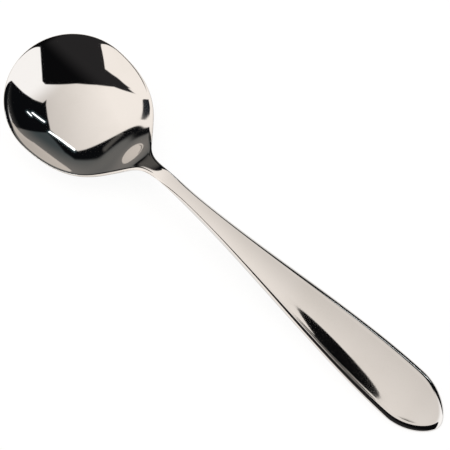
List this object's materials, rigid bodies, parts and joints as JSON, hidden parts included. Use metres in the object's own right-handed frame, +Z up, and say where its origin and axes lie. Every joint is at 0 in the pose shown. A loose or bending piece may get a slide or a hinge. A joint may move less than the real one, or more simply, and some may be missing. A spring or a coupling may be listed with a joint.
{
  "type": "cupping spoon",
  "caption": "Deep round-bowled tasting spoon with a thin arched neck and a flat paddle handle, mirror-polished steel, for slurping coffee samples.",
  "frame": {"origin": "on the table, under the middle of the spoon's length and width", "axes": "+X along the spoon from the tip of the bowl to the end of the handle, +Z up out of the bowl"},
  "size_m": [0.1678, 0.0422, 0.0156],
  "materials": {
    "polished_steel": "mirror-polished bare stainless steel, not plated"
  },
  "bodies": {
    "root": {"bowl": "polished_steel", "neck": "polished_steel", "handle": "polished_steel"}
  },
  "joints": []
}
